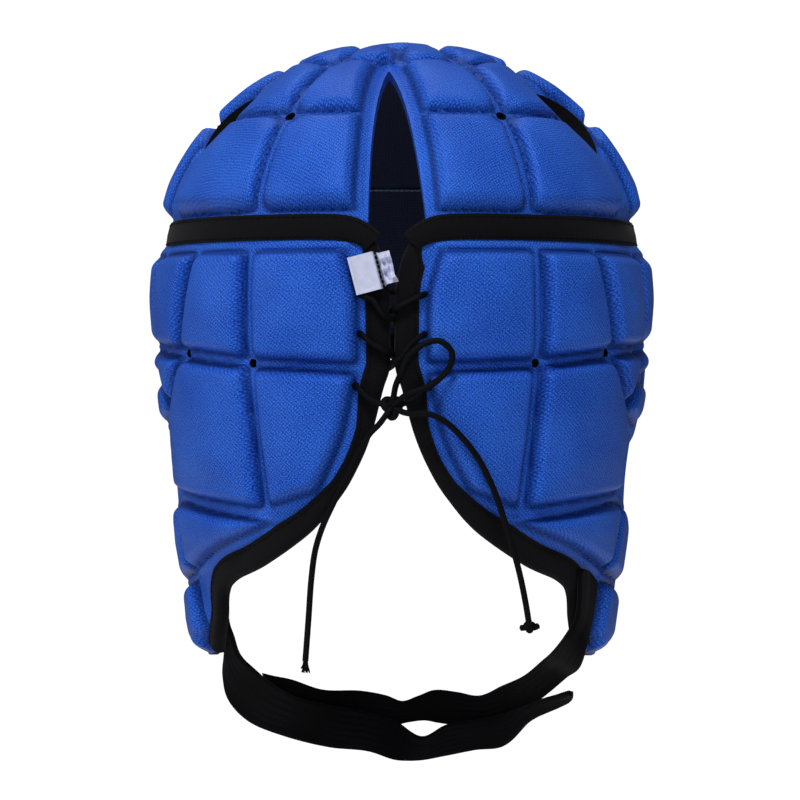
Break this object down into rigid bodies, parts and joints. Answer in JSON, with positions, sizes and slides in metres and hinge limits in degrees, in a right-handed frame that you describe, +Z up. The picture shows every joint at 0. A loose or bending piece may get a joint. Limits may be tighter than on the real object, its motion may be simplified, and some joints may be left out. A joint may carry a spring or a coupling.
{
  "type": "padded sports headgear",
  "caption": "Soft padded scrum cap: moulded foam crown and side panels in shiny blue fabric, black bound edges, laced back gap and a hook-and-loop chin strap.",
  "frame": {"origin": "inside top of the crown, where the top of the head bears", "axes": "+Z up, +Y towards the face, +X towards the wearer's right"},
  "size_m": [0.189, 0.2151, 0.2718],
  "materials": {
    "padded_fabric": "shiny knitted polyester over moulded foam",
    "edge_tape": "matte stretch tape",
    "strap_fabric": "matte brushed loop fabric",
    "lace_cord": "braided elastic cord",
    "label_satin": "white satin"
  },
  "bodies": {
    "root": {"crown": "padded_fabric", "side_panel_left": "padded_fabric", "side_panel_right": "padded_fabric", "brow_panel": "padded_fabric", "seam_band": "edge_tape", "back_binding_left": "edge_tape", "back_binding_right": "edge_tape", "face_binding": "edge_tape", "strap_left": "strap_fabric", "strap_right": "strap_fabric", "lace_crossing": "lace_cord", "lace_knot": "lace_cord", "lace_loop": "lace_cord", "lace_end_left": "lace_cord", "lace_end_right": "lace_cord", "care_label": "label_satin"}
  },
  "joints": []
}
